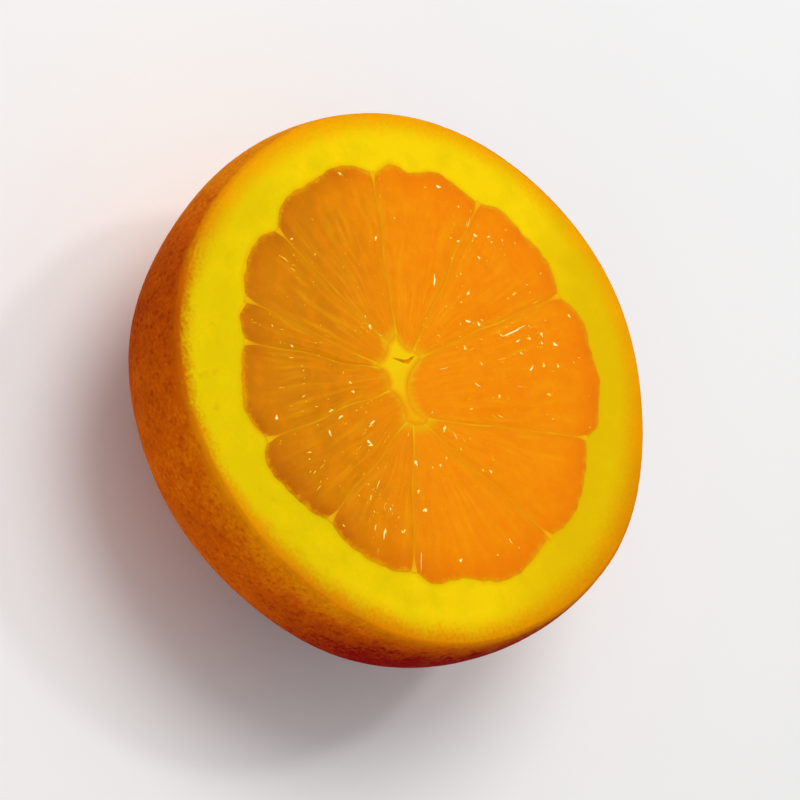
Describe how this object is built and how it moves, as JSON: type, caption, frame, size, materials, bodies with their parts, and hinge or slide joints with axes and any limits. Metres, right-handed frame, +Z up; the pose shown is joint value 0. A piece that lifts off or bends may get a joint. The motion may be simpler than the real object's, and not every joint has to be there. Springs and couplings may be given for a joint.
{
  "type": "orange half",
  "caption": "Half of a large orange cut across its segments, lying on its rind with the wet pulp, thick pith and cracked core facing up.",
  "frame": {"origin": "middle of the object's box at the height of the small flat spot that the rind rests on", "axes": "+Z up, square to the cut face, +Y from the core towards the membrane that runs nearly straight up in a plan view"},
  "size_m": [0.0778, 0.078, 0.034],
  "materials": {
    "rind": "pored satin orange skin",
    "pith": "matt spongy bright yellow pith",
    "membrane": "damp pale yellow membranes and core",
    "pulp": "wet orange juice sacs",
    "juice": "wet glossy beads of juice"
  },
  "bodies": {
    "root": {"orange_half": "rind"}
  },
  "joints": []
}
